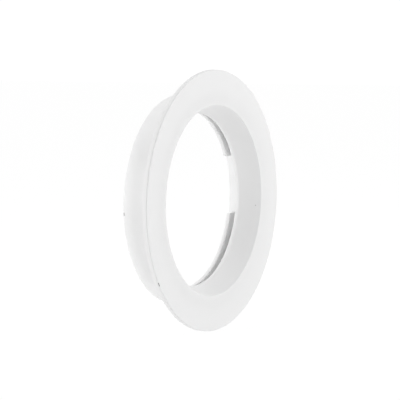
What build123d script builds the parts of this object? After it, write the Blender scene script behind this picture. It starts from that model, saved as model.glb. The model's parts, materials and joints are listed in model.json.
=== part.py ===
"""Toilet flange: a flat face ring with a tapered throat, welded to a thin rear collar with three lugs.

Millimetres. The ring's axis lies along Y: the front face looks to -Y and the collar points to +Y.
The origin is on the axis, at the plane of the flange's back face, and +Z is up.
"""
import math
import os

from build123d import *

# Face ring, one moulding of even wall
FLANGE_D = 152.4          # outer diameter of the flange
RING_WALL = 2.9           # thickness of the flange and of the funnel wall
MOUTH_D = 111.4           # diameter of the bore where it meets the front face
THROAT_D = 101.6          # smallest diameter, a nominal four-inch waste opening
FUNNEL_DEPTH = 12.7       # from the front face to the start of the throat
THROAT_LENGTH = 1.3       # short straight land at the small end of the funnel
RIM_ROUND = 0.65          # rounding of the flange's outer edges
MOUTH_ROUND = 0.4         # rounding where the bore meets the front face
ROOT_ROUND = 0.8          # rounding where the funnel meets the flange's back

# Lock collar, a second and thinner moulding
COLLAR_D = 123.1          # outer diameter of the collar
COLLAR_WALL = 2.15        # thickness of the collar wall in front of the lugs
COLLAR_DEPTH = 21.8       # from the flange's back face to the collar's rear edge
COLLAR_ROUND = 0.45       # rounding of the collar's rear edge
SOCKET_D = 119.9          # inner diameter of the collar behind the lugs
FOOT_D = 124.4            # outer diameter of the collar's foot, which is let into the flange
FOOT_DEPTH = 1.3          # thickness of the foot and depth of its recess

# Twist-lock lugs inside the collar
LUG_COUNT = 3
GAP_WIDTH = 35.3          # width of the parallel-sided gap between two lugs
GAP_CENTRE = 5.95         # degrees from +X towards +Z to the middle of the first gap
LUG_INNER_D = 105.0       # diameter of the circle that the lugs leave free
LUG_THICK = 2.5
LUG_REAR_STEP = 3.1       # from the collar's rear edge in to the lugs' rear faces
LUG_EDGE_ROUND = 0.15     # rounding of the lugs' free edge
LUG_CORNER_ROUND = 0.8    # rounding of the lugs' free corners, seen along the axis

RING_AXIS = Axis.Y


def corner(profile, r, y):
    """Return the vertex of a flat profile that lies nearest to radius r and height y."""
    return min(profile.vertices(), key=lambda v: math.hypot(v.X - r, v.Y - y))


def face_ring():
    """Make the flange disc and its funnel, with the recess that takes the collar's foot."""
    front = -RING_WALL
    throat_r = THROAT_D / 2
    mouth_r = MOUTH_D / 2
    throat_start = front + FUNNEL_DEPTH
    tube_end = throat_start + THROAT_LENGTH
    taper = math.atan2(mouth_r - throat_r, FUNNEL_DEPTH)
    slant = RING_WALL / math.cos(taper)
    slope = math.tan(taper)
    # Outer surface of the funnel, parallel to the inner one
    root_r = mouth_r + slant - slope * RING_WALL
    tube_r = throat_r + RING_WALL
    bend = (mouth_r + slant - tube_r) / slope + front

    inside = Polyline((FLANGE_D / 2, front), (mouth_r, front), (throat_r, throat_start), (throat_r, tube_end))
    tip = ThreePointArc(
        (throat_r, tube_end),
        (throat_r + RING_WALL / 2, tube_end + RING_WALL / 2),
        (tube_r, tube_end),
    )
    outside = Polyline(
        (tube_r, tube_end), (tube_r, bend), (root_r, 0), (FLANGE_D / 2, 0), (FLANGE_D / 2, front)
    )
    profile = make_face([*inside.edges(), tip, *outside.edges()])
    profile = fillet(corner(profile, FLANGE_D / 2, front), RIM_ROUND)
    profile = fillet(corner(profile, FLANGE_D / 2, 0), RIM_ROUND)
    profile = fillet(corner(profile, mouth_r, front), MOUTH_ROUND)
    profile = fillet(corner(profile, root_r, 0), ROOT_ROUND)
    return revolve(profile, RING_AXIS, 360) - recess()


def recess():
    """Make the ring-shaped space in the flange's back that the collar's foot fills."""
    inner = COLLAR_D / 2 - COLLAR_WALL
    outer = FOOT_D / 2
    section = make_face(
        Polyline((inner, -FOOT_DEPTH), (outer, -FOOT_DEPTH), (outer, 1), (inner, 1), close=True)
    )
    return revolve(section, RING_AXIS, 360)


def collar_tube():
    """Make the plain tube of the collar, from its foot in the flange to its rear edge."""
    outer = COLLAR_D / 2
    inner = outer - COLLAR_WALL
    foot = FOOT_D / 2
    socket = SOCKET_D / 2
    socket_start = COLLAR_DEPTH - LUG_REAR_STEP
    section = make_face(
        Polyline(
            (inner, -FOOT_DEPTH), (foot, -FOOT_DEPTH), (foot, 0), (outer, 0), (outer, COLLAR_DEPTH),
            (socket, COLLAR_DEPTH), (socket, socket_start), (inner, socket_start), close=True,
        )
    )
    section = fillet(corner(section, outer, COLLAR_DEPTH), COLLAR_ROUND)
    section = fillet(corner(section, socket, COLLAR_DEPTH), COLLAR_ROUND)
    return revolve(section, RING_AXIS, 360)


def gap(middle):
    """Make the parallel-sided block that clears one gap between two lugs.

    Args:
        middle: direction of the gap's middle, in degrees from +X towards +Z.
    """
    inside = LUG_INNER_D / 4
    block = Box(FLANGE_D / 2 - inside, COLLAR_DEPTH, GAP_WIDTH)
    block = block.translate(((FLANGE_D / 2 + inside) / 2, COLLAR_DEPTH / 2, 0))
    # A turn about +Y carries +Z towards +X, so the angle from +X towards +Z is its negative
    return block.rotate(RING_AXIS, -middle)


def lugs():
    """Make the flat lugs that reach in from the collar wall, with their gaps cleared."""
    inner = LUG_INNER_D / 2
    outer = COLLAR_D / 2 - COLLAR_WALL / 2
    rear = COLLAR_DEPTH - LUG_REAR_STEP
    front = rear - LUG_THICK
    section = make_face(
        Polyline((inner, front), (outer, front), (outer, rear), (inner, rear), close=True)
    )
    body = revolve(section, RING_AXIS, 360)
    for index in range(LUG_COUNT):
        body = body - gap(GAP_CENTRE + 360 / LUG_COUNT * index)
    free_corners = body.edges().filter_by(Axis.Y).filter_by(
        lambda e: abs(math.hypot(e.center().X, e.center().Z) - inner) < 0.01
    )
    body = fillet(free_corners, LUG_CORNER_ROUND)
    free_edge = body.edges().filter_by(
        lambda e: e.geom_type == GeomType.CIRCLE
        and abs(e.radius - inner) < 0.01
    )
    return fillet(free_edge, LUG_EDGE_ROUND)


def lock_collar():
    """Make the collar with its lugs as one moulding."""
    return collar_tube() + lugs()


def main():
    """Write each moulding to its own STEP file."""
    os.makedirs("parts", exist_ok=True)
    export_step(face_ring(), "parts/face_ring.step")
    export_step(lock_collar(), "parts/lock_collar.step")


main()
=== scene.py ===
"""Looks of the toilet flange: two white plastic mouldings in a soft white studio.

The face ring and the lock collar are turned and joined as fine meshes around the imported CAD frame.
The ring's axis lies along Y, its front face looks to -Y, and +Z is up. Lengths are in metres.
Ring angles are in degrees from +X towards +Z.
"""
import json
import logging
import math
from dataclasses import dataclass, field
from enum import Enum

import bmesh
import bpy
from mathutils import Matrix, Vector


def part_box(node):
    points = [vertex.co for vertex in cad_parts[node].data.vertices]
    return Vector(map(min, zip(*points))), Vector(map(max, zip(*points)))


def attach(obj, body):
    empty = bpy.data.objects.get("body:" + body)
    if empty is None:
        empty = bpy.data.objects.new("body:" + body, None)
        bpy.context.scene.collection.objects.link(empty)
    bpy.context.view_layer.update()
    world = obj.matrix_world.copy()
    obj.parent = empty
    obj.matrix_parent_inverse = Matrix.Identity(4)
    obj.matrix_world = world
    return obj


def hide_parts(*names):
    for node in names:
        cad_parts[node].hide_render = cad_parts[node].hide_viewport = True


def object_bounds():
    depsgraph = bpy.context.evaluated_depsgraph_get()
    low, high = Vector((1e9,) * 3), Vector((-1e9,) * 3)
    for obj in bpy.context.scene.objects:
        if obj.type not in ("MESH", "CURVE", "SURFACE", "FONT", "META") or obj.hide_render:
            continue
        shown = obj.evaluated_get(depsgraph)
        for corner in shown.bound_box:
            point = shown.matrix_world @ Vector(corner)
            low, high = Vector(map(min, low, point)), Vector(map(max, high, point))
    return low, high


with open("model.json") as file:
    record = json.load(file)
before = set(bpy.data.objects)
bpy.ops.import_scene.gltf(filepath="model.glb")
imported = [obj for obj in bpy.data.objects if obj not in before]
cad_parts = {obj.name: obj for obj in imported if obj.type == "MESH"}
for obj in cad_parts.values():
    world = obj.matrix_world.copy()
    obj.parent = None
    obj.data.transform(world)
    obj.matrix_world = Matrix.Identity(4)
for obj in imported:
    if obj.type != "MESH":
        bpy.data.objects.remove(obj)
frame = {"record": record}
CAD_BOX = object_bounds()

LOG = logging.getLogger("toilet_flange")
MM = 0.001
BODY = "root"


class Node(Enum):
    """The CAD nodes that the two mouldings stand for."""

    FACE_RING = "face_ring"
    LOCK_COLLAR = "lock_collar"


class Slot(Enum):
    """The record's material slots."""

    FACE = "face_plastic"
    COLLAR = "collar_plastic"


class Join(Enum):
    """How a second mesh is worked into a first one."""

    ADD = "UNION"
    CUT = "DIFFERENCE"


def ring_point(radius: float, angle: float, depth: float) -> Vector:
    """Give the place of a point on the ring.

    Args:
        radius: distance from the ring's axis.
        angle: ring angle in degrees.
        depth: place along +Y.

    Returns:
        The point in the frame's coordinates.
    """
    turn = math.radians(angle)
    return Vector((radius * math.cos(turn), depth, radius * math.sin(turn)))


def mount_radius(name: str) -> float:
    """Give the radius of a round mount.

    Args:
        name: the mount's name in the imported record.

    Returns:
        Its radius in metres.
    """
    mount = next(m for m in frame["record"]["mounts"] if m["name"] == name)
    return mount["dims"]["r_mm"] * MM


# ---------------------------------------------------------------------------------------------
# Mesh work
# ---------------------------------------------------------------------------------------------


@dataclass(frozen=True)
class Corner:
    """A corner of a turned profile.

    Attributes:
        radius: distance from the ring's axis.
        depth: place along +Y.
        rounding: radius of the arc that replaces the corner, or 0 for a sharp one.
    """

    radius: float
    depth: float
    rounding: float = 0.0


@dataclass(frozen=True)
class Profile:
    """A closed section of a turned piece, with rounded corners.

    Attributes:
        corners: the section's corners, in order.
        arc_steps: how many short runs make a quarter turn.
        guard: how far outside an arc a guard point keeps the flat beside it looking flat.
    """

    corners: tuple[Corner, ...]
    arc_steps: int = 8
    guard: float = 0.06 * MM

    def points(self) -> list[Vector]:
        """Return the outline's points as (radius, depth) pairs, with the arcs worked out."""
        found: list[Vector] = []
        count = len(self.corners)
        for index, corner in enumerate(self.corners):
            before = self.corners[index - 1]
            after = self.corners[(index + 1) % count]
            found.extend(self._round(before, corner, after))
        return found

    def _round(self, before: Corner, corner: Corner, after: Corner) -> list[Vector]:
        """Work out one corner's arc with its two guard points.

        Args:
            before: the corner ahead of this one.
            corner: the corner to round.
            after: the corner that follows.

        Returns:
            The points that replace the corner.
        """
        at = Vector((corner.radius, corner.depth))
        back = (Vector((before.radius, before.depth)) - at).normalized()
        onward = (Vector((after.radius, after.depth)) - at).normalized()
        if corner.rounding == 0:
            return [at + back * self.guard, at, at + onward * self.guard]
        opening = back.angle(onward)
        reach = corner.rounding / math.tan(opening / 2)
        centre = at + (back + onward).normalized() * (corner.rounding / math.sin(opening / 2))
        start = at + back * reach - centre
        sweep = start.angle_signed(at + onward * reach - centre)
        steps = max(2, round(self.arc_steps * abs(sweep) / (math.pi / 2)))
        arc = []
        for step in range(steps + 1):
            # A positive signed angle of a 2-D vector is clockwise
            turn = -sweep * step / steps
            cosine, sine = math.cos(turn), math.sin(turn)
            turned = Vector((start.x * cosine - start.y * sine, start.x * sine + start.y * cosine))
            arc.append(centre + turned)
        return [at + back * (reach + self.guard), *arc, at + onward * (reach + self.guard)]


class MeshShop:
    """Makes and joins closed meshes."""

    SMOOTH_LIMIT = math.radians(38)
    MERGE = 1e-7

    @classmethod
    def piece(cls, name: str, work: bmesh.types.BMesh) -> bpy.types.Object:
        """Turn finished mesh work into an object with even outward normals.

        Args:
            name: the object's name.
            work: the mesh work, which is freed.

        Returns:
            The linked object.
        """
        bmesh.ops.remove_doubles(work, verts=work.verts, dist=cls.MERGE)
        bmesh.ops.recalc_face_normals(work, faces=work.faces)
        mesh = bpy.data.meshes.new(name)
        work.to_mesh(mesh)
        work.free()
        made = bpy.data.objects.new(name, mesh)
        bpy.context.scene.collection.objects.link(made)
        cls.shade(made)
        return made

    @classmethod
    def shade(cls, made: bpy.types.Object) -> None:
        """Smooth the curved stretches and keep true edges sharp."""
        made.data.shade_smooth()
        made.data.set_sharp_from_angle(angle=cls.SMOOTH_LIMIT)

    @classmethod
    def turned(cls, name: str, profile: Profile, segments: int) -> bpy.types.Object:
        """Turn a closed profile all the way round the ring's axis.

        Args:
            name: the object's name.
            profile: the section to turn.
            segments: how many flat runs make the circle.

        Returns:
            The turned object.
        """
        work = bmesh.new()
        outline = profile.points()
        rows = []
        for segment in range(segments):
            angle = 360 * segment / segments
            rows.append([work.verts.new(ring_point(p.x, angle, p.y)) for p in outline])
        for segment in range(segments):
            cls._bridge(work, rows[segment], rows[(segment + 1) % segments])
        return cls.piece(name, work)

    @classmethod
    def stacked(cls, work: bmesh.types.BMesh, loops: list[list[Vector]]) -> None:
        """Skin a stack of closed loops and cap both its ends.

        Args:
            work: the mesh work that takes the skin.
            loops: loops of equal length, from the first cap to the last.
        """
        rows = [[work.verts.new(point) for point in loop] for loop in loops]
        for lower, upper in zip(rows, rows[1:]):
            cls._bridge(work, lower, upper)
        work.faces.new(rows[0])
        work.faces.new(list(reversed(rows[-1])))

    @staticmethod
    def _bridge(work: bmesh.types.BMesh, first: list, second: list) -> None:
        """Fill the band between two closed rows of vertices."""
        count = len(first)
        for index in range(count):
            after = (index + 1) % count
            work.faces.new((first[index], first[after], second[after], second[index]))

    @classmethod
    def join(cls, base: bpy.types.Object, tool: bpy.types.Object, way: Join) -> None:
        """Work one closed mesh into another and remove it.

        Args:
            base: the object that is kept.
            tool: the object that is added or cut away.
            way: whether the tool adds or cuts.
        """
        modifier = base.modifiers.new(way.name.lower(), "BOOLEAN")
        modifier.operation = way.value
        modifier.solver = "EXACT"
        modifier.object = tool
        graph = bpy.context.evaluated_depsgraph_get()
        result = bpy.data.meshes.new_from_object(base.evaluated_get(graph))
        base.modifiers.clear()
        spent = base.data
        base.data = result
        result.name = base.name
        bpy.data.meshes.remove(spent)
        bpy.data.objects.remove(tool)
        cls.shade(base)


@dataclass(frozen=True)
class Pad:
    """A low round or long pad with softened edges, standing on a cylinder or a flat.

    Attributes:
        centre: the middle of its foot.
        along: direction of its long side.
        out: direction that it stands up in.
        length: size along its long side.
        width: size across.
        height: how far it stands above its foot.
        sink: how far it reaches below its foot.
    """

    centre: Vector
    along: Vector
    out: Vector
    length: float
    width: float
    height: float
    sink: float

    CAP_STEPS = 10
    EDGE_STEPS = 4
    # Rounding of the top's edge, as a share of the pad's height
    SOFTNESS = 0.6

    def add_to(self, work: bmesh.types.BMesh) -> None:
        """Add the pad's closed skin to some mesh work."""
        soften = min(self.height, self.width / 2) * self.SOFTNESS
        loops = [self._loop(0, -self.sink)]
        for step in range(self.EDGE_STEPS + 1):
            turn = math.pi / 2 * step / self.EDGE_STEPS
            level = self.height - soften * (1 - math.sin(turn))
            loops.append(self._loop(soften * (1 - math.cos(turn)), level))
        MeshShop.stacked(work, loops)

    def _loop(self, inset: float, level: float) -> list[Vector]:
        """Give one level of the pad's outline.

        Args:
            inset: how far the outline is drawn in.
            level: its height above the foot.

        Returns:
            The outline's points.
        """
        across = self.out.cross(self.along).normalized()
        radius = self.width / 2 - inset
        straight = max(self.length - self.width, 0) / 2
        points = []
        for side in (1, -1):
            for step in range(self.CAP_STEPS + 1):
                turn = math.pi * (step / self.CAP_STEPS - 0.5)
                along = side * (straight + radius * math.cos(turn))
                sideways = across * (side * radius * math.sin(turn))
                points.append(self.centre + self.along * along + sideways + self.out * level)
        return points


# ---------------------------------------------------------------------------------------------
# Shader groups
# ---------------------------------------------------------------------------------------------


class GroupMaker:
    """Builds the shader groups that both finishes share, each of them once."""

    @staticmethod
    def _start(
        name: str, inputs: dict[str, tuple[str, object]], outputs: dict[str, str]
    ) -> bpy.types.NodeTree:
        """Make an empty group with its sockets.

        Args:
            name: the group's name.
            inputs: each input's socket type and default.
            outputs: each output's socket type.

        Returns:
            The new node tree, with its input and output nodes.
        """
        tree = bpy.data.node_groups.new(name, "ShaderNodeTree")
        for label, (kind, default) in inputs.items():
            socket = tree.interface.new_socket(label, in_out="INPUT", socket_type=kind)
            if default is not None:
                socket.default_value = default
        for label, kind in outputs.items():
            tree.interface.new_socket(label, in_out="OUTPUT", socket_type=kind)
        tree.nodes.new("NodeGroupInput").name = "in"
        tree.nodes.new("NodeGroupOutput").name = "out"
        return tree

    @staticmethod
    def math(
        tree: bpy.types.NodeTree, operation: str, first: object, second: object
    ) -> bpy.types.NodeSocket:
        """Add a math node.

        Args:
            tree: the tree that takes the node.
            operation: the node's operation.
            first: a socket or a number.
            second: a socket or a number.

        Returns:
            The result's socket.
        """
        node = tree.nodes.new("ShaderNodeMath")
        node.operation = operation
        for socket, value in zip(node.inputs, (first, second)):
            if isinstance(value, bpy.types.NodeSocket):
                tree.links.new(value, socket)
            else:
                socket.default_value = value
        return node.outputs[0]

    @staticmethod
    def noise(
        tree: bpy.types.NodeTree, vector: bpy.types.NodeSocket, scale: float, detail: float
    ) -> bpy.types.NodeSocket:
        """Add a noise texture.

        Args:
            tree: the tree that takes the node.
            vector: where the noise is read.
            scale: how many waves fit in a metre.
            detail: how many finer layers are added.

        Returns:
            The noise's value, about 0.5 on average.
        """
        node = tree.nodes.new("ShaderNodeTexNoise")
        node.inputs["Scale"].default_value = scale
        node.inputs["Detail"].default_value = detail
        tree.links.new(vector, node.inputs["Vector"])
        return node.outputs["Fac"]

    @classmethod
    def mould_grain(cls) -> bpy.types.NodeTree:
        """Build the height of a satin mould surface: fine texture over a slight broad ripple."""
        name = "mould grain"
        if name in bpy.data.node_groups:
            return bpy.data.node_groups[name]
        tree = cls._start(
            name,
            {
                "Vector": ("NodeSocketVector", None),
                "Ripple": ("NodeSocketFloat", 0.5),
                "Fine": ("NodeSocketFloat", 0.5),
            },
            {"Height": "NodeSocketFloat"},
        )
        source = tree.nodes["in"].outputs
        fine = cls.noise(tree, source["Vector"], 2600, 3)
        broad = cls.noise(tree, source["Vector"], 70, 2)
        total = cls.math(
            tree,
            "ADD",
            cls.math(tree, "MULTIPLY", fine, source["Fine"]),
            cls.math(tree, "MULTIPLY", broad, source["Ripple"]),
        )
        tree.links.new(total, tree.nodes["out"].inputs["Height"])
        return tree

    @classmethod
    def flow_tone(cls) -> bpy.types.NodeTree:
        """Build the faint clouds that the flowing plastic leaves, as a value about 0.5 on average."""
        name = "flow tone"
        if name in bpy.data.node_groups:
            return bpy.data.node_groups[name]
        tree = cls._start(
            name,
            {"Vector": ("NodeSocketVector", None), "Spread": ("NodeSocketFloat", 1.0)},
            {"Tone": "NodeSocketFloat"},
        )
        source = tree.nodes["in"].outputs
        cloud = cls.noise(tree, source["Vector"], 34, 3)
        streak = cls.noise(tree, source["Vector"], 210, 4)
        mixed = cls.math(
            tree,
            "ADD",
            cls.math(tree, "MULTIPLY", cloud, 0.7),
            cls.math(tree, "MULTIPLY", streak, 0.3),
        )
        centred = cls.math(tree, "SUBTRACT", mixed, 0.5)
        spread = cls.math(tree, "MULTIPLY", centred, source["Spread"])
        tree.links.new(cls.math(tree, "ADD", spread, 0.5), tree.nodes["out"].inputs["Tone"])
        return tree

    @classmethod
    def edge_wear(cls) -> bpy.types.NodeTree:
        """Build a mask of the handled edges, from how far a softened normal leans off the true one."""
        name = "edge wear"
        if name in bpy.data.node_groups:
            return bpy.data.node_groups[name]
        tree = cls._start(
            name,
            {
                "Vector": ("NodeSocketVector", None),
                "Gain": ("NodeSocketFloat", 1.0),
            },
            {"Mask": "NodeSocketFloat"},
        )
        source = tree.nodes["in"].outputs
        bevel = tree.nodes.new("ShaderNodeBevel")
        bevel.samples = 4
        bevel.inputs["Radius"].default_value = 0.6 * MM
        geometry = tree.nodes.new("ShaderNodeNewGeometry")
        lean = tree.nodes.new("ShaderNodeVectorMath")
        lean.operation = "DOT_PRODUCT"
        tree.links.new(bevel.outputs["Normal"], lean.inputs[0])
        tree.links.new(geometry.outputs["Normal"], lean.inputs[1])
        edge = cls.math(tree, "SUBTRACT", 1.0, lean.outputs["Value"])
        patchy = cls.noise(tree, source["Vector"], 420, 3)
        mask = cls.math(tree, "MULTIPLY", cls.math(tree, "MULTIPLY", edge, patchy), source["Gain"])
        limited = tree.nodes.new("ShaderNodeClamp")
        tree.links.new(mask, limited.inputs["Value"])
        tree.links.new(limited.outputs["Result"], tree.nodes["out"].inputs["Mask"])
        return tree

    @classmethod
    def speck(cls) -> bpy.types.NodeTree:
        """Build the mask of one small dark mark along a line, with a ragged edge."""
        name = "speck"
        if name in bpy.data.node_groups:
            return bpy.data.node_groups[name]
        tree = cls._start(
            name,
            {
                "Vector": ("NodeSocketVector", None),
                "Start": ("NodeSocketVector", None),
                "End": ("NodeSocketVector", None),
                "Radius": ("NodeSocketFloat", 0.4 * MM),
            },
            {"Mask": "NodeSocketFloat"},
        )
        source = tree.nodes["in"].outputs
        reach = cls._vector(tree, "SUBTRACT", source["Vector"], source["Start"])
        length = cls._vector(tree, "SUBTRACT", source["End"], source["Start"])
        share = cls.math(
            tree,
            "DIVIDE",
            cls._vector(tree, "DOT_PRODUCT", reach, length, "Value"),
            cls.math(tree, "MAXIMUM", cls._vector(tree, "DOT_PRODUCT", length, length, "Value"), 1e-12),
        )
        limited = tree.nodes.new("ShaderNodeClamp")
        tree.links.new(share, limited.inputs["Value"])
        foot = tree.nodes.new("ShaderNodeVectorMath")
        foot.operation = "SCALE"
        tree.links.new(length, foot.inputs[0])
        tree.links.new(limited.outputs["Result"], foot.inputs["Scale"])
        off = cls._vector(tree, "DISTANCE", reach, foot.outputs["Vector"], "Value")
        edge = cls.math(tree, "ADD", cls.noise(tree, source["Vector"], 3000, 2), 0.5)
        ragged = cls.math(tree, "MULTIPLY", edge, source["Radius"])
        fade = tree.nodes.new("ShaderNodeMapRange")
        fade.interpolation_type = "SMOOTHSTEP"
        tree.links.new(off, fade.inputs["Value"])
        tree.links.new(ragged, fade.inputs["From Max"])
        tree.links.new(cls.math(tree, "MULTIPLY", ragged, 0.5), fade.inputs["From Min"])
        fade.inputs["To Min"].default_value = 1.0
        fade.inputs["To Max"].default_value = 0.0
        tree.links.new(fade.outputs["Result"], tree.nodes["out"].inputs["Mask"])
        return tree

    @staticmethod
    def _vector(
        tree: bpy.types.NodeTree,
        operation: str,
        first: bpy.types.NodeSocket,
        second: bpy.types.NodeSocket,
        result: str = "Vector",
    ) -> bpy.types.NodeSocket:
        """Add a vector math node.

        Args:
            tree: the tree that takes the node.
            operation: the node's operation.
            first: the first vector.
            second: the second vector.
            result: the name of the output that is wanted.

        Returns:
            The result's socket.
        """
        node = tree.nodes.new("ShaderNodeVectorMath")
        node.operation = operation
        tree.links.new(first, node.inputs[0])
        tree.links.new(second, node.inputs[1])
        return node.outputs[result]


# ---------------------------------------------------------------------------------------------
# Finishes
# ---------------------------------------------------------------------------------------------


@dataclass(frozen=True)
class Speck:
    """A small dark mark painted into a moulding's colour.

    Attributes:
        start: one end of the speck.
        end: its other end.
        radius: half its width.
        strength: how much of the plastic's colour it takes away.
    """

    start: Vector
    end: Vector
    radius: float
    strength: float


@dataclass(frozen=True)
class WhitePlastic:
    """Satin white moulded plastic, slightly clouded, with softly polished edges.

    Attributes:
        name: the material's name.
        tone: the plastic's mean colour.
        shade: the darker colour of its clouds.
        worn: the colour of its handled edges.
        speck_colour: the dark colour painted into each speck.
        roughness: the mean roughness.
        roughness_spread: how much the roughness changes over the surface.
        bump: the height of the mould texture.
        light_through: how much light the plastic carries inside it.
        light_reach: how far that light spreads.
        cloud_spread: how strongly the clouds show.
        wear_gain: how strongly the handled edges show.
        refraction: the plastic's index of refraction.
        grain_strength: how strongly the mould texture shows.
        specks: the dark specks on the moulding.
    """

    name: str
    tone: tuple[float, float, float]
    shade: tuple[float, float, float]
    worn: tuple[float, float, float]
    speck_colour: tuple[float, float, float] = (0.05, 0.047, 0.045)
    roughness: float = 0.46
    roughness_spread: float = 0.16
    bump: float = 0.02 * MM
    light_through: float = 0.35
    light_reach: float = 2.5 * MM
    cloud_spread: float = 1.6
    wear_gain: float = 2.2
    refraction: float = 1.49
    grain_strength: float = 0.35
    specks: tuple[Speck, ...] = field(default_factory=tuple)

    def material(self) -> bpy.types.Material:
        """Build the finish as a node material."""
        made = bpy.data.materials.new(self.name)
        made.use_nodes = True
        tree = made.node_tree
        tree.nodes.clear()
        shader = tree.nodes.new("ShaderNodeBsdfPrincipled")
        output = tree.nodes.new("ShaderNodeOutputMaterial")
        tree.links.new(shader.outputs["BSDF"], output.inputs["Surface"])
        shader.inputs["IOR"].default_value = self.refraction
        shader.inputs["Subsurface Weight"].default_value = self.light_through
        shader.inputs["Subsurface Radius"].default_value = (1, 1, 1)
        shader.inputs["Subsurface Scale"].default_value = self.light_reach
        place = tree.nodes.new("ShaderNodeTexCoord").outputs["Object"]

        flow = self._group(tree, GroupMaker.flow_tone(), place, {"Spread": self.cloud_spread})
        tone = flow.outputs["Tone"]
        handled = self._group(tree, GroupMaker.edge_wear(), place, {"Gain": self.wear_gain})
        wear = handled.outputs["Mask"]
        colour = self._blend(tree, tone, self.shade, self.tone)
        colour = self._blend(tree, wear, colour, self.worn)
        for speck in self.specks:
            mask = self._group(
                tree,
                GroupMaker.speck(),
                place,
                {"Start": speck.start, "End": speck.end, "Radius": speck.radius},
            ).outputs["Mask"]
            mask = GroupMaker.math(tree, "MULTIPLY", mask, speck.strength)
            # Each speck's mask paints its dark colour into the plastic.
            colour = self._blend(tree, mask, colour, self.speck_colour)
        tree.links.new(colour, shader.inputs["Base Color"])

        clouds = GroupMaker.math(tree, "SUBTRACT", tone, 0.5)
        gloss = GroupMaker.math(tree, "MULTIPLY", clouds, self.roughness_spread)
        polish = GroupMaker.math(tree, "MULTIPLY", wear, -0.1)
        rough = GroupMaker.math(tree, "ADD", GroupMaker.math(tree, "ADD", gloss, polish), self.roughness)
        tree.links.new(rough, shader.inputs["Roughness"])

        grain = self._group(tree, GroupMaker.mould_grain(), place, {"Ripple": 0.5, "Fine": 0.5})
        bump = tree.nodes.new("ShaderNodeBump")
        bump.inputs["Strength"].default_value = self.grain_strength
        bump.inputs["Distance"].default_value = self.bump
        tree.links.new(grain.outputs["Height"], bump.inputs["Height"])
        tree.links.new(bump.outputs["Normal"], shader.inputs["Normal"])
        return made

    @staticmethod
    def _group(
        tree: bpy.types.NodeTree,
        group: bpy.types.NodeTree,
        place: bpy.types.NodeSocket,
        values: dict[str, object],
    ) -> bpy.types.Node:
        """Place a shared group with its own values.

        Args:
            tree: the material's tree.
            group: the shared group.
            place: the coordinates that the group reads.
            values: the group's other inputs.

        Returns:
            The group node.
        """
        node = tree.nodes.new("ShaderNodeGroup")
        node.node_tree = group
        tree.links.new(place, node.inputs["Vector"])
        for label, value in values.items():
            node.inputs[label].default_value = value
        return node

    @staticmethod
    def _blend(
        tree: bpy.types.NodeTree, share: bpy.types.NodeSocket, first: object, second: object
    ) -> bpy.types.NodeSocket:
        """Mix two colours.

        Args:
            tree: the material's tree.
            share: how much of the second colour shows.
            first: a colour or a colour socket.
            second: a colour or a colour socket.

        Returns:
            The mixed colour's socket.
        """
        node = tree.nodes.new("ShaderNodeMix")
        node.data_type = "RGBA"
        tree.links.new(share, node.inputs["Factor"])
        colours = [s for s in node.inputs if s.type == "RGBA"]
        for socket, value in zip(colours, (first, second)):
            if isinstance(value, bpy.types.NodeSocket):
                tree.links.new(value, socket)
            else:
                socket.default_value = (*value, 1.0)
        return next(s for s in node.outputs if s.type == "RGBA")


# ---------------------------------------------------------------------------------------------
# The two mouldings
# ---------------------------------------------------------------------------------------------


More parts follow.
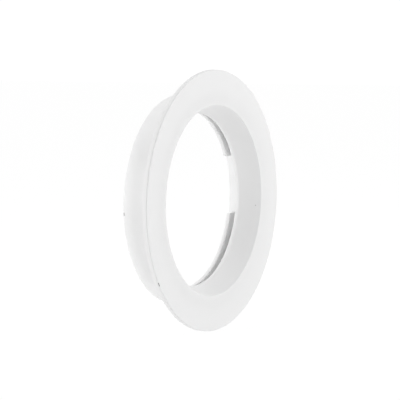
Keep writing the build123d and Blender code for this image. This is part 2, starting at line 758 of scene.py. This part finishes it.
@dataclass
class FaceRing:
    """The flange with its funnel, one moulding of even wall.

    Attributes:
        mouth_radius: where the funnel meets the front face.
        throat_length: the short straight stretch at the small end.
        rim_round: rounding of the flange's outer edges.
        mouth_round: rounding where the funnel meets the front face.
        root_round: rounding where the funnel meets the flange's back.
        collar_wall: thickness of the collar that meets the flange's back.
        foot_fit: gap round the collar's foot in its recess.
        pin_count: how many ejector-pin marks the back face has.
        pin_radius: half the width of a pin mark.
        pin_depth: how deep a pin mark is.
        rim_mark_low: where the dark mark painted on the rim's front edge starts, in degrees round the axis.
        rim_mark_high: where that painted mark ends.
        speck_angle: where the speck in the funnel lies, in degrees round the axis.
        speck_inset: how far the speck stands in from the mouth.
        speck_depth: how far the speck lies behind the flange's back.
    """

    mouth_radius: float = 55.7 * MM
    throat_length: float = 1.3 * MM
    rim_round: float = 0.65 * MM
    mouth_round: float = 0.4 * MM
    root_round: float = 0.8 * MM
    collar_wall: float = 2.15 * MM
    foot_fit: float = 0.04 * MM
    pin_count: int = 8
    pin_radius: float = 2.5 * MM
    pin_depth: float = 0.12 * MM
    rim_mark_low: float = 213.1
    rim_mark_high: float = 214.7
    speck_angle: float = 352.8
    speck_inset: float = 1.2 * MM
    speck_depth: float = 0.2 * MM
    segments: int = 360

    def __post_init__(self) -> None:
        """Read the moulding's extent from the frame."""
        low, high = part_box(Node.FACE_RING.value)
        self.outer_radius = high.x
        self.front = low.y
        self.lip_end = high.y
        self.wall = -self.front
        self.throat_radius = mount_radius("throat")
        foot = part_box(Node.LOCK_COLLAR.value)
        self.recess_bottom = foot[0].y
        self.recess_outer = foot[1].x + self.foot_fit
        self.recess_inner = mount_radius("collar") - self.collar_wall

    def profile(self) -> Profile:
        """Return the section of the flange, the funnel and the recess for the collar's foot."""
        tube_radius = self.throat_radius + self.wall
        throat_start = self.lip_end - self.wall / 2 - self.throat_length
        taper = math.atan2(self.mouth_radius - self.throat_radius, throat_start - self.front)
        slant = self.wall / math.cos(taper)
        slope = math.tan(taper)
        root_radius = self.mouth_radius + slant - slope * self.wall
        bend = (self.mouth_radius + slant - tube_radius) / slope + self.front
        lip_round = self.wall / 2 * 0.998
        return Profile(
            (
                Corner(self.outer_radius, self.front, self.rim_round),
                Corner(self.mouth_radius, self.front, self.mouth_round),
                Corner(self.throat_radius, throat_start, 0.15 * MM),
                Corner(self.throat_radius, self.lip_end, lip_round),
                Corner(tube_radius, self.lip_end, lip_round),
                Corner(tube_radius, bend, 0.3 * MM),
                Corner(root_radius, 0, self.root_round),
                Corner(self.recess_inner, 0),
                Corner(self.recess_inner, self.recess_bottom),
                Corner(self.recess_outer, self.recess_bottom),
                Corner(self.recess_outer, 0, 0.12 * MM),
                Corner(self.outer_radius, 0, self.rim_round),
            )
        )

    def build(self) -> bpy.types.Object:
        """Make the moulding's mesh, with the ejector-pin marks in its back."""
        ring = MeshShop.turned("face_ring_moulding", self.profile(), self.segments)
        work = bmesh.new()
        middle = (self.recess_outer + self.outer_radius) / 2
        for index in range(self.pin_count):
            angle = 360 * (index + 0.5) / self.pin_count
            Pad(
                centre=ring_point(middle, angle, 0),
                along=ring_point(1, angle, 0),
                out=Vector((0, -1, 0)),
                length=2 * self.pin_radius,
                width=2 * self.pin_radius,
                height=self.pin_depth,
                sink=self.wall,
            ).add_to(work)
        MeshShop.join(ring, MeshShop.piece("pin_marks", work), Join.CUT)
        return ring

    def finish(self) -> WhitePlastic:
        """Return the face ring's plastic, with a dark mark painted on the rim's front edge and a speck in the
        funnel.
        """
        # The rim mark is only painted dark into the colour; no nick is cut in the rim.
        rim_mark_radius = self.outer_radius - self.rim_round * 0.3
        rim_mark_depth = self.front + self.rim_round * 0.2
        speck = ring_point(
            self.mouth_radius - self.speck_inset, self.speck_angle, self.speck_depth
        )
        return WhitePlastic(
            name="face_ring_white_plastic",
            tone=(0.89, 0.89, 0.89),
            shade=(0.875, 0.875, 0.875),
            worn=(0.84, 0.84, 0.835),
            specks=(
                Speck(
                    ring_point(rim_mark_radius, self.rim_mark_low, rim_mark_depth),
                    ring_point(rim_mark_radius, self.rim_mark_high, rim_mark_depth),
                    0.32 * MM,
                    0.75,
                ),
                Speck(speck, speck, 0.45 * MM, 0.35),
            ),
        )

    def dress(self, ring: bpy.types.Object) -> None:
        """Give the moulding its plastic and its place in the frame."""
        ring.data.materials.clear()
        ring.data.materials.append(self.finish().material())
        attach(ring, BODY)
        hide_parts(Node.FACE_RING.value)


@dataclass
class LockCollar:
    """The rear collar with its inward lugs, one thin moulding.

    Attributes:
        wall: thickness of the collar in front of the lugs.
        edge_round: rounding of the collar's rear edge.
        lug_count: how many lugs stand around the collar.
        gap_width: width of the parallel-sided gap between two lugs.
        gap_centre: ring angle of the middle of the first gap.
        lug_radius: radius of the circle that the lugs leave free.
        lug_thick: thickness of a lug.
        lug_step: from the collar's rear edge in to the lugs' rear faces.
        lug_corner: rounding of a lug's free corners, seen along the axis.
        lug_edge: rounding of a lug's edges.
        weld_bead: size of the small fillet of cement at the collar's foot.
        gate_angle: ring angle of the gate mark.
        gate_step: from the collar's rear edge to the middle of the gate mark.
        gate_length: length of the gate mark, around the collar.
        gate_width: width of the gate mark, along the axis.
        gate_height: how far the gate mark stands out.
        gate_sink: how far the gate mark's body reaches into the wall.
    """

    wall: float = 2.15 * MM
    edge_round: float = 0.45 * MM
    lug_count: int = 3
    gap_width: float = 35.3 * MM
    gap_centre: float = 5.95
    lug_radius: float = 52.5 * MM
    lug_thick: float = 2.5 * MM
    lug_step: float = 3.1 * MM
    lug_corner: float = 0.8 * MM
    lug_edge: float = 0.15 * MM
    weld_bead: float = 0.45 * MM
    gate_angle: float = 184.0
    gate_step: float = 0.75 * MM
    gate_length: float = 2.0 * MM
    gate_width: float = 0.7 * MM
    gate_height: float = 0.25 * MM
    gate_sink: float = 0.5 * MM
    segments: int = 360

    CORNER_STEPS = 10
    EDGE_STEPS = 4
    TIP_STEP = 0.5

    def __post_init__(self) -> None:
        """Read the moulding's extent from the frame."""
        low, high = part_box(Node.LOCK_COLLAR.value)
        self.foot_bottom = low.y
        self.foot_radius = high.x
        self.rear = high.y
        self.outer_radius = mount_radius("collar")
        self.inner_radius = self.outer_radius - self.wall
        self.socket_radius = mount_radius("spigot_socket")

    def tube(self) -> bpy.types.Object:
        """Make the collar's plain tube, with the bead of cement at its foot."""
        bead = self.outer_radius + self.weld_bead
        # The wider socket starts just in front of the lugs' rear faces
        socket_start = self.rear - self.lug_step - 0.05 * MM
        profile = Profile(
            (
                Corner(self.inner_radius, self.foot_bottom),
                Corner(self.foot_radius, self.foot_bottom),
                Corner(self.foot_radius, 0, 0.12 * MM),
                Corner(bead, 0),
                Corner(self.outer_radius, self.weld_bead, self.weld_bead * 0.9),
                Corner(self.outer_radius, self.rear, self.edge_round),
                Corner(self.socket_radius, self.rear, self.edge_round),
                Corner(self.socket_radius, socket_start, 0.2 * MM),
                Corner(self.inner_radius, socket_start, 0.2 * MM),
            )
        )
        return MeshShop.turned("lock_collar_moulding", profile, self.segments)

    def _lug_outline(self, middle: float, inset: float, depth: float) -> list[Vector]:
        """Give one level of a lug's outline, seen along the axis.

        Args:
            middle: ring angle of the lug's middle.
            inset: how far the outline is drawn in.
            depth: place along +Y.

        Returns:
            The outline, from the wall at one end round the free edge and back to the wall.
        """
        tip = self.lug_radius + inset
        wall = (self.outer_radius + self.inner_radius) / 2
        corner = self.lug_corner - inset
        side_offset = self.gap_width / 2 + inset
        half_pitch = 180 / self.lug_count
        points = []
        for side in (-1, 1):
            # Both sides of a gap run parallel to the radius through the gap's middle
            end = math.radians(middle + side * half_pitch)
            along = Vector((math.cos(end), 0, math.sin(end)))
            inward = Vector((math.sin(end), 0, -math.cos(end))) * side
            centre_radius = tip + corner
            offset = side_offset + corner
            reach = math.sqrt(centre_radius**2 - offset**2)
            centre = along * reach + inward * offset
            flat = -inward
            toward = -centre.normalized()
            sweep = flat.angle(toward)
            arc = []
            for step in range(self.CORNER_STEPS + 1):
                share = step / self.CORNER_STEPS
                turned = (
                    flat * math.sin((1 - share) * sweep) + toward * math.sin(share * sweep)
                ) / math.sin(sweep)
                arc.append(centre + turned * corner)
            root = along * math.sqrt(wall**2 - side_offset**2) + inward * side_offset
            steps = [root, root.lerp(arc[0], 0.5), *arc]
            points.append(steps if side < 0 else list(reversed(steps)))
        first, last = points
        low = math.degrees(math.atan2(first[-1].z, first[-1].x))
        high = math.degrees(math.atan2(last[0].z, last[0].x))
        span = (high - low) % 360
        count = round(span / self.TIP_STEP)
        tip_arc = [ring_point(tip, low + span * step / count, 0) for step in range(1, count)]
        low = math.degrees(math.atan2(last[-1].z, last[-1].x))
        high = math.degrees(math.atan2(first[0].z, first[0].x))
        back = (low - high) % 360
        wall_arc = [ring_point(wall, low - back * step / count, 0) for step in range(1, count)]
        outline = [*first, *tip_arc, *last, *wall_arc]
        return [Vector((p.x, depth, p.z)) for p in outline]

    def lugs(self) -> bpy.types.Object:
        """Make all the lugs and the gate mark as closed shells that reach into the wall."""
        work = bmesh.new()
        pitch = 360 / self.lug_count
        rear = self.rear - self.lug_step
        front = rear - self.lug_thick
        levels = [(self.lug_edge * 1.3, front)]
        for step in range(self.EDGE_STEPS + 1):
            turn = math.pi / 2 * step / self.EDGE_STEPS
            inset = self.lug_edge * (1 - math.sin(turn))
            levels.append((inset, front + self.lug_edge * (1 - math.cos(turn))))
        for inset, depth in reversed(levels[:]):
            levels.append((inset, front + rear - depth))
        for index in range(self.lug_count):
            middle = self.gap_centre + pitch * (index + 0.5)
            MeshShop.stacked(work, [self._lug_outline(middle, inset, depth) for inset, depth in levels])
        self._gate().add_to(work)
        return MeshShop.piece("lugs", work)

    def _gate(self) -> Pad:
        """Return the low stub that the mould's gate leaves beside the rear edge."""
        return Pad(
            centre=ring_point(self.outer_radius, self.gate_angle, self.rear - self.gate_step),
            along=ring_point(1, self.gate_angle + 90, 0),
            out=ring_point(1, self.gate_angle, 0),
            length=self.gate_length,
            width=self.gate_width,
            height=self.gate_height,
            sink=self.gate_sink,
        )

    def build(self) -> bpy.types.Object:
        """Make the moulding's mesh."""
        collar = self.tube()
        MeshShop.join(collar, self.lugs(), Join.ADD)
        return collar

    def finish(self) -> WhitePlastic:
        """Return the collar's plastic, with a dark mark painted over the gate stub."""
        gate = self._gate()
        half = gate.along * (gate.length / 2 - gate.width / 2)
        return WhitePlastic(
            name="lock_collar_white_plastic",
            tone=(0.895, 0.895, 0.895),
            shade=(0.88, 0.88, 0.88),
            worn=(0.84, 0.84, 0.835),
            roughness=0.42,
            light_through=0.85,
            light_reach=5.5 * MM,
            # The dark mark over the gate stub is painted into the colour.
            specks=(Speck(gate.centre - half, gate.centre + half, 0.45 * MM, 0.8),),
        )

    def dress(self, collar: bpy.types.Object) -> None:
        """Give the moulding its plastic and its place in the frame."""
        collar.data.materials.clear()
        collar.data.materials.append(self.finish().material())
        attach(collar, BODY)
        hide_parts(Node.LOCK_COLLAR.value)


# ---------------------------------------------------------------------------------------------
# Camera and studio
# ---------------------------------------------------------------------------------------------


@dataclass(frozen=True)
class Viewpoint:
    """Where the camera stands, in units of the flange's radius.

    Attributes:
        azimuth: the camera's bearing in degrees, 0 in front of the face.
        elevation: its height above the horizon in degrees.
        distance: from the middle of the front face, along the view.
        aside: how far right of the view's centre the face's middle shows.
        above: how far above the view's centre it shows.
        lens: focal length in millimetres, on a 36 mm sensor.
    """

    azimuth: float = -59.72
    elevation: float = 4.71
    distance: float = 14.593
    aside: float = 0.12
    above: float = -0.005
    lens: float = 171.81

    def back(self) -> Vector:
        """Return the direction from the object to the camera."""
        bearing, height = math.radians(self.azimuth), math.radians(self.elevation)
        return Vector(
            (math.sin(bearing) * math.cos(height), -math.cos(bearing) * math.cos(height), math.sin(height))
        )

    def place(self, target: Vector, radius: float) -> bpy.types.Object:
        """Make the scene's camera.

        Args:
            target: the middle of the flange's front face.
            radius: the flange's radius.

        Returns:
            The camera object.
        """
        lens = bpy.data.cameras.new("studio_camera")
        lens.lens = self.lens
        lens.sensor_width = 36
        lens.clip_start = 0.01
        lens.clip_end = 50
        camera = bpy.data.objects.new("studio_camera", lens)
        bpy.context.scene.collection.objects.link(camera)
        back = self.back()
        camera.rotation_mode = "QUATERNION"
        camera.rotation_quaternion = (-back).to_track_quat("-Z", "Y")
        right = Vector((0, 0, 1)).cross(back).normalized()
        up = back.cross(right)
        camera.location = target + radius * (back * self.distance - right * self.aside - up * self.above)
        bpy.context.scene.camera = camera
        return camera


@dataclass(frozen=True)
class Softbox:
    """A square soft light that looks at the object.

    Attributes:
        name: the light's name.
        azimuth: its bearing in degrees, 0 in front of the face.
        elevation: its height above the horizon in degrees.
        distance: how far it stands from the object.
        size: the length of its sides.
        strength: its light on the object, as a share of the tent's.
    """

    name: str
    azimuth: float
    elevation: float
    distance: float
    size: float
    strength: float

    def hang(self, target: Vector) -> bpy.types.Object:
        """Make the light and aim it.

        Args:
            target: the point that it looks at.

        Returns:
            The light object, which the camera doesn't see.
        """
        lamp = bpy.data.lights.new(self.name, "AREA")
        lamp.shape = "SQUARE"
        lamp.size = self.size
        lamp.energy = self.strength * (math.pi * self.distance) ** 2
        light = bpy.data.objects.new(self.name, lamp)
        bpy.context.scene.collection.objects.link(light)
        back = Viewpoint(azimuth=self.azimuth, elevation=self.elevation).back()
        light.location = target + back * self.distance
        light.rotation_mode = "QUATERNION"
        light.rotation_quaternion = (-back).to_track_quat("-Z", "Y")
        light.visible_camera = False
        return light


@dataclass(frozen=True)
class Studio:
    """A white light tent with a darker opening for the camera, and soft lights at its sides.

    Attributes:
        tent: brightness of the tent's walls.
        opening: brightness inside the opening.
        opening_bearing: bearing of the middle of the opening, in degrees.
        opening_height: height of its middle above the horizon, in degrees.
        opening_inner: half angle of its dark middle, in degrees.
        opening_outer: half angle at which it has faded out, in degrees.
        backdrop: brightness of the tent as the camera sees it.
        softboxes: the soft lights.
        floor_glow: how brightly the floor shines in the picture.
        floor_bounce: how brightly it shines on the object.
        floor_tone: the floor's own colour.
        floor_size: the floor's half width.
    """

    tent: float = 0.86
    opening: float = 0.14
    opening_bearing: float = -59.7
    opening_height: float = 5.0
    opening_inner: float = 30.0
    opening_outer: float = 66.0
    backdrop: float = 1.05
    softboxes: tuple[Softbox, ...] = (
        Softbox("left_softbox", -122.0, 12.0, 1.2, 0.9, 0.33),
        Softbox("right_softbox", 30.3, 15.0, 1.2, 0.9, 0.285),
        Softbox("rear_softbox", 150.0, 65.0, 1.2, 0.7, 0.04),
    )
    floor_glow: float = 0.92
    floor_bounce: float = 0.78
    floor_tone: float = 0.1
    floor_size: float = 6.0

    def light(self, target: Vector) -> None:
        """Set up the tent as the scene's world and hang the soft lights.

        Args:
            target: the point that the lights look at.
        """
        world = bpy.data.worlds.new("light_tent")
        bpy.context.scene.world = world
        world.use_nodes = True
        tree = world.node_tree
        tree.nodes.clear()
        output = tree.nodes.new("ShaderNodeOutputWorld")
        place = tree.nodes.new("ShaderNodeTexCoord").outputs["Generated"]
        aim = tree.nodes.new("ShaderNodeVectorMath")
        aim.operation = "DOT_PRODUCT"
        tree.links.new(place, aim.inputs[0])
        middle = Viewpoint(azimuth=self.opening_bearing, elevation=self.opening_height)
        aim.inputs[1].default_value = middle.back()
        fade = tree.nodes.new("ShaderNodeMapRange")
        fade.interpolation_type = "SMOOTHSTEP"
        fade.inputs["From Min"].default_value = math.cos(math.radians(self.opening_outer))
        fade.inputs["From Max"].default_value = math.cos(math.radians(self.opening_inner))
        fade.inputs["To Min"].default_value = self.tent
        fade.inputs["To Max"].default_value = self.opening
        tree.links.new(aim.outputs["Value"], fade.inputs["Value"])
        lit = tree.nodes.new("ShaderNodeBackground")
        lit.inputs["Color"].default_value = (1, 1, 1, 1)
        tree.links.new(fade.outputs["Result"], lit.inputs["Strength"])
        seen = tree.nodes.new("ShaderNodeBackground")
        seen.inputs["Color"].default_value = (1, 1, 1, 1)
        seen.inputs["Strength"].default_value = self.backdrop
        mixer = tree.nodes.new("ShaderNodeMixShader")
        tree.links.new(tree.nodes.new("ShaderNodeLightPath").outputs["Is Camera Ray"], mixer.inputs["Fac"])
        tree.links.new(lit.outputs["Background"], mixer.inputs[1])
        tree.links.new(seen.outputs["Background"], mixer.inputs[2])
        tree.links.new(mixer.outputs["Shader"], output.inputs["Surface"])
        for softbox in self.softboxes:
            softbox.hang(target)

    def floor(self, level: float) -> bpy.types.Object:
        """Make the plain pale floor.

        Args:
            level: the floor's height.

        Returns:
            The floor object.
        """
        work = bmesh.new()
        size = self.floor_size
        corners = ((-size, -size), (size, -size), (size, size), (-size, size))
        work.faces.new([work.verts.new((x, y, level)) for x, y in corners])
        mesh = bpy.data.meshes.new("studio_floor")
        work.to_mesh(mesh)
        work.free()
        floor = bpy.data.objects.new("studio_floor", mesh)
        bpy.context.scene.collection.objects.link(floor)
        paint = bpy.data.materials.new("pale_floor")
        paint.use_nodes = True
        shader = paint.node_tree.nodes["Principled BSDF"]
        shader.inputs["Base Color"].default_value = (self.floor_tone,) * 3 + (1.0,)
        shader.inputs["Roughness"].default_value = 1.0
        shader.inputs["Specular IOR Level"].default_value = 0.0
        shader.inputs["Emission Color"].default_value = (1, 1, 1, 1)
        tree = paint.node_tree
        shine = tree.nodes.new("ShaderNodeMix")
        shine.inputs["A"].default_value = self.floor_bounce
        shine.inputs["B"].default_value = self.floor_glow
        tree.links.new(tree.nodes.new("ShaderNodeLightPath").outputs["Is Camera Ray"], shine.inputs["Factor"])
        tree.links.new(shine.outputs["Result"], shader.inputs["Emission Strength"])
        mesh.materials.append(paint)
        return floor


def main() -> None:
    """Build the flange's two mouldings, the camera and the studio."""
    logging.basicConfig(level=logging.INFO, format="%(name)s: %(message)s")
    bpy.context.scene.view_settings.view_transform = "Standard"
    face = FaceRing()
    Viewpoint().place(Vector((0, face.front, 0)), face.outer_radius)
    ring = face.build()
    face.dress(ring)
    LOG.info("%s has %d faces", ring.name, len(ring.data.polygons))
    lock = LockCollar()
    collar = lock.build()
    lock.dress(collar)
    LOG.info("%s has %d faces", collar.name, len(collar.data.polygons))
    studio = Studio()
    studio.light(Vector((0, 0, 0)))
    floor = studio.floor(CAD_BOX[0].z)
    LOG.info("%s lies at %.4f m", floor.name, CAD_BOX[0].z)


if __name__ == "__main__":
    main()
